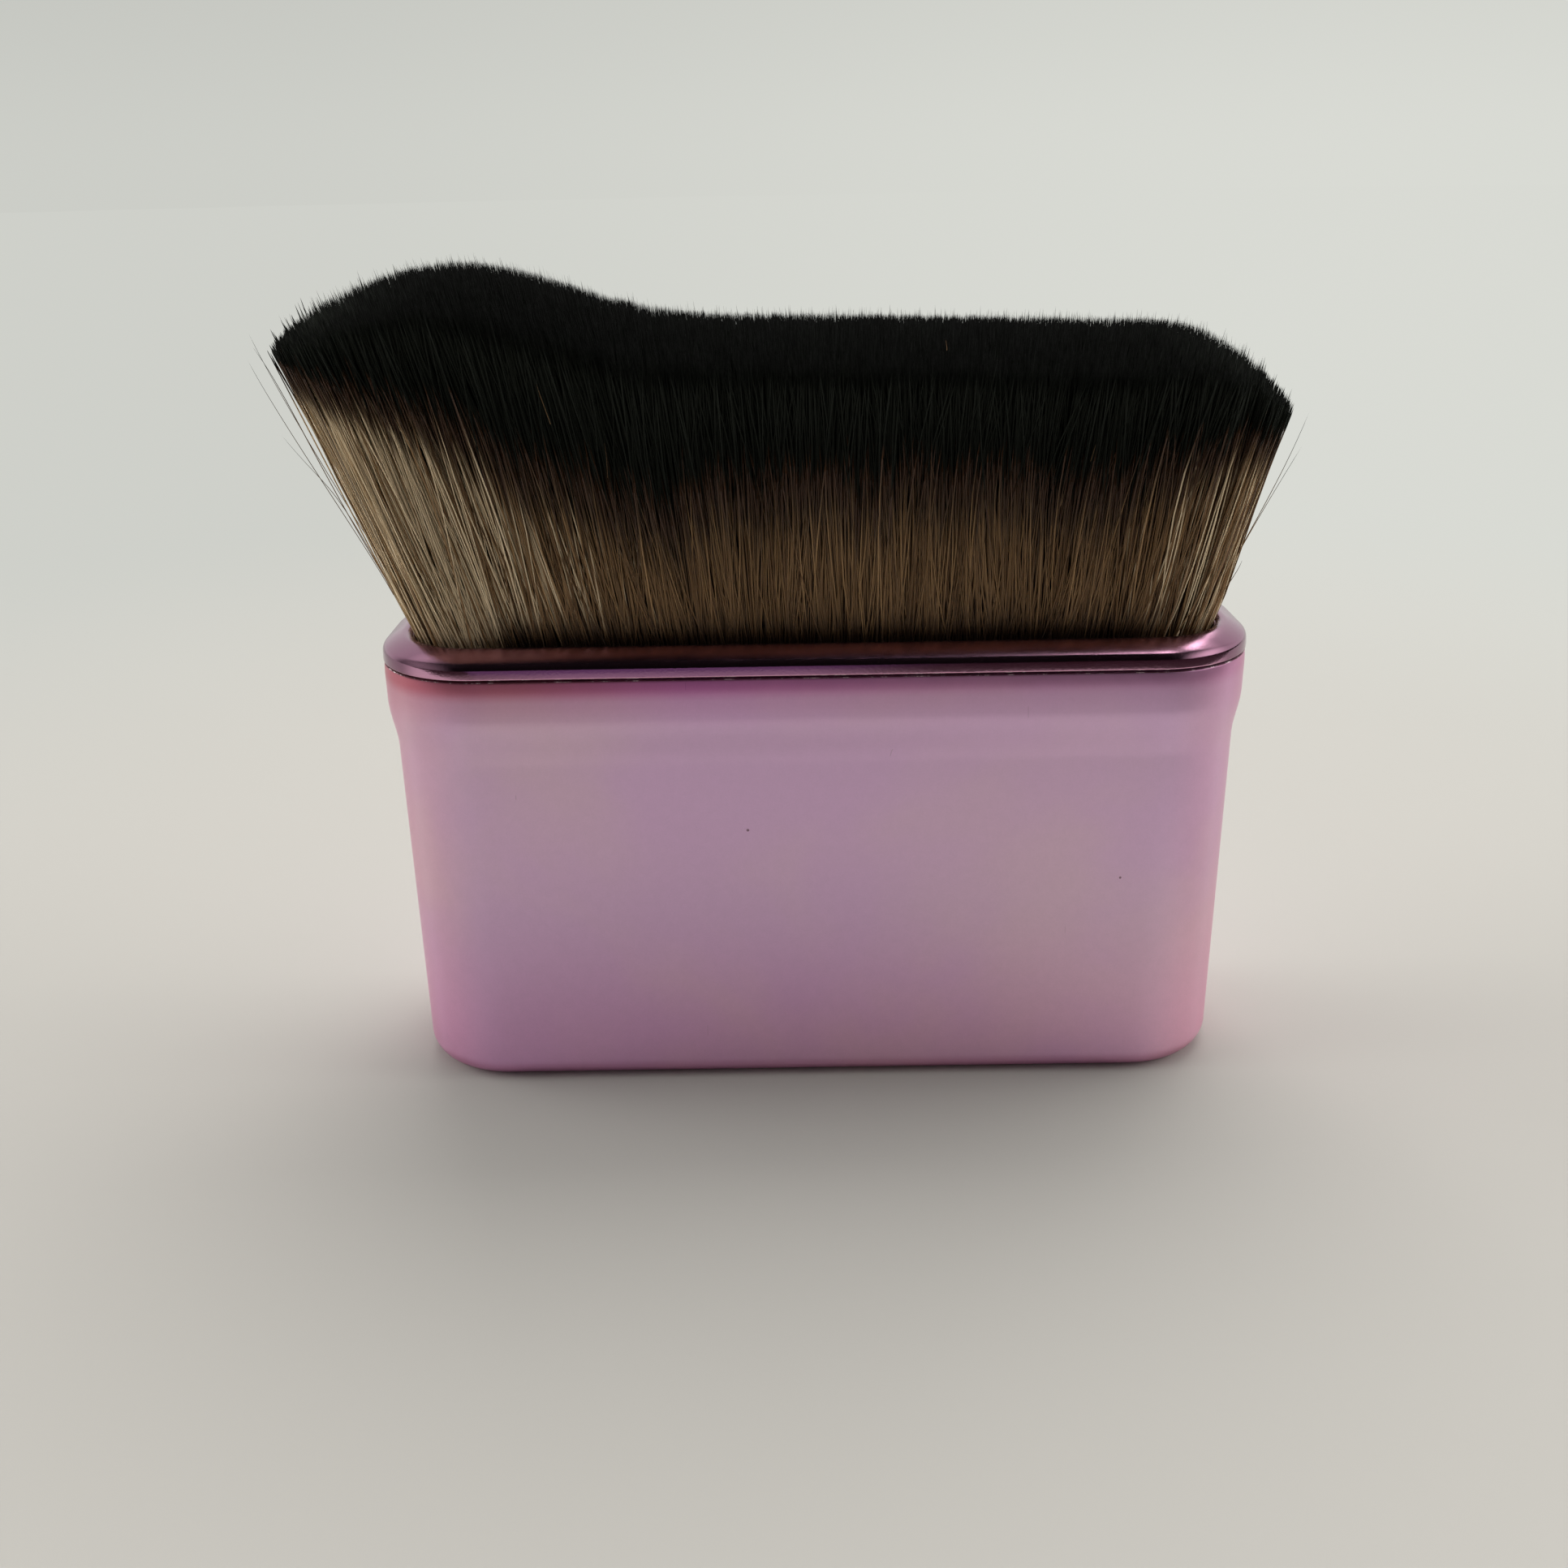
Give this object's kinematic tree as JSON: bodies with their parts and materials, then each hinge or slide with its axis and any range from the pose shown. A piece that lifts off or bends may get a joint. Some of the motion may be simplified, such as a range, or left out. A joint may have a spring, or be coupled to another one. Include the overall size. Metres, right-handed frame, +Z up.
{
  "type": "makeup brush",
  "caption": "Wide flat body makeup brush with a wave-cut bristle head and a rounded rectangular metallised handle that stands upright on its base.",
  "frame": {"origin": "centre of the handle's flat base, on the surface that the brush stands on", "axes": "+X along the brush's width, towards the low end of the cut head; +Y through its depth, away from the pictured face; +Z up, from the base to the bristle tips"},
  "size_m": [0.0838, 0.0232, 0.0715],
  "materials": {
    "handle": "satin metallised pink lacquer on moulded plastic",
    "collar": "bright metallised pink on moulded plastic",
    "glue": "cured clear adhesive",
    "cup": "matte black moulded plastic",
    "resin": "set casting resin",
    "bristles": "taupe synthetic filament, dyed black at the cut end"
  },
  "bodies": {
    "root": {"handle_shell": "handle", "collar": "collar", "collar_glue": "glue", "bristle_cup": "cup", "resin_bed": "resin", "bristle_hank_1": "bristles", "bristle_hank_2": "bristles", "bristle_hank_3": "bristles", "bristle_hank_4": "bristles", "bristle_hank_5": "bristles", "bristle_hank_6": "bristles"}
  },
  "joints": []
}
